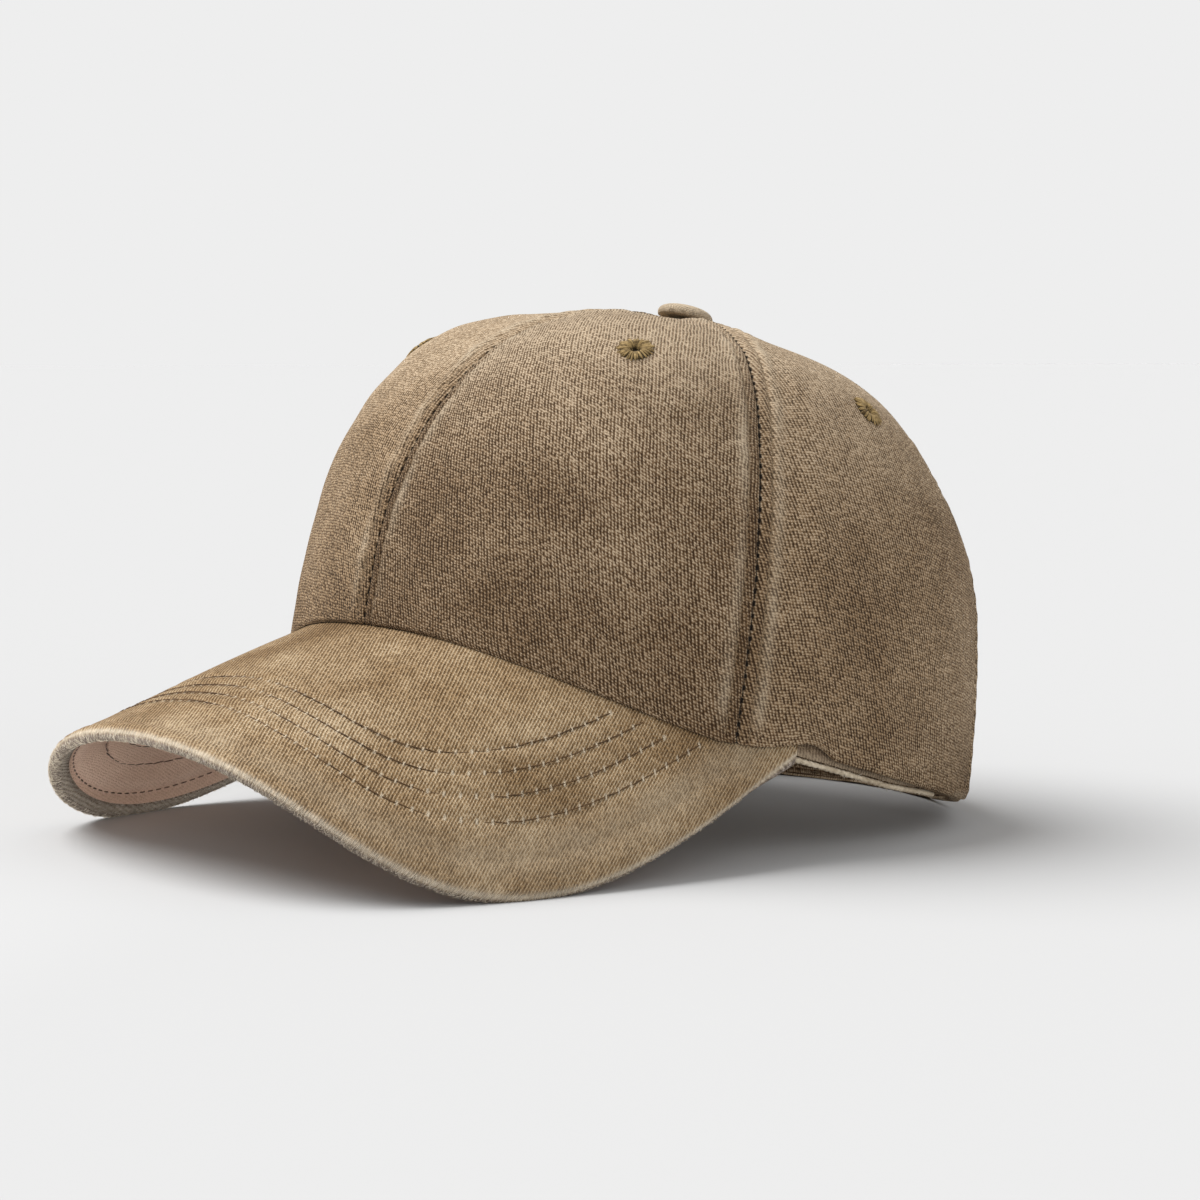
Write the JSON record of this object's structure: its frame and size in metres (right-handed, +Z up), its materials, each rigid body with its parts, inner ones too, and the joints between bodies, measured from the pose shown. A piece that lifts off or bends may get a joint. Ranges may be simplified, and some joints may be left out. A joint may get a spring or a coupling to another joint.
{
  "type": "ponytail baseball cap",
  "caption": "Soft washed-twill baseball cap with a curved peak, covered button, stitched eyelets and a tall ponytail opening above a plain closing strap.",
  "frame": {"origin": "centre of the cap's bounding box, on the surface that it rests on", "axes": "+Z up, with the cap resting on its peak and its closing strap; the peak points along -Y; +X is the wearer's left"},
  "size_m": [0.1836, 0.2454, 0.1387],
  "materials": {
    "twill": "washed cotton twill, matt",
    "peak_twill": "washed cotton twill, rubbed lighter along the edge",
    "underside": "dusty pink cotton, matt",
    "band": "brown cotton, matt",
    "piping": "cream twisted cotton edging",
    "thread": "embroidered olive-gold thread"
  },
  "bodies": {
    "root": {"front_panel_left": "twill", "front_panel_right": "twill", "side_panel_left": "twill", "side_panel_right": "twill", "back_panel_left": "twill", "back_panel_right": "twill", "eyelet_front_left": "thread", "eyelet_front_right": "thread", "eyelet_side_left": "thread", "eyelet_side_right": "thread", "eyelet_back_left": "thread", "eyelet_back_right": "thread", "top_button": "twill", "peak_top": "peak_twill", "peak_underside": "underside", "sweatband": "band", "rim_piping": "piping", "closing_strap": "twill"}
  },
  "joints": []
}
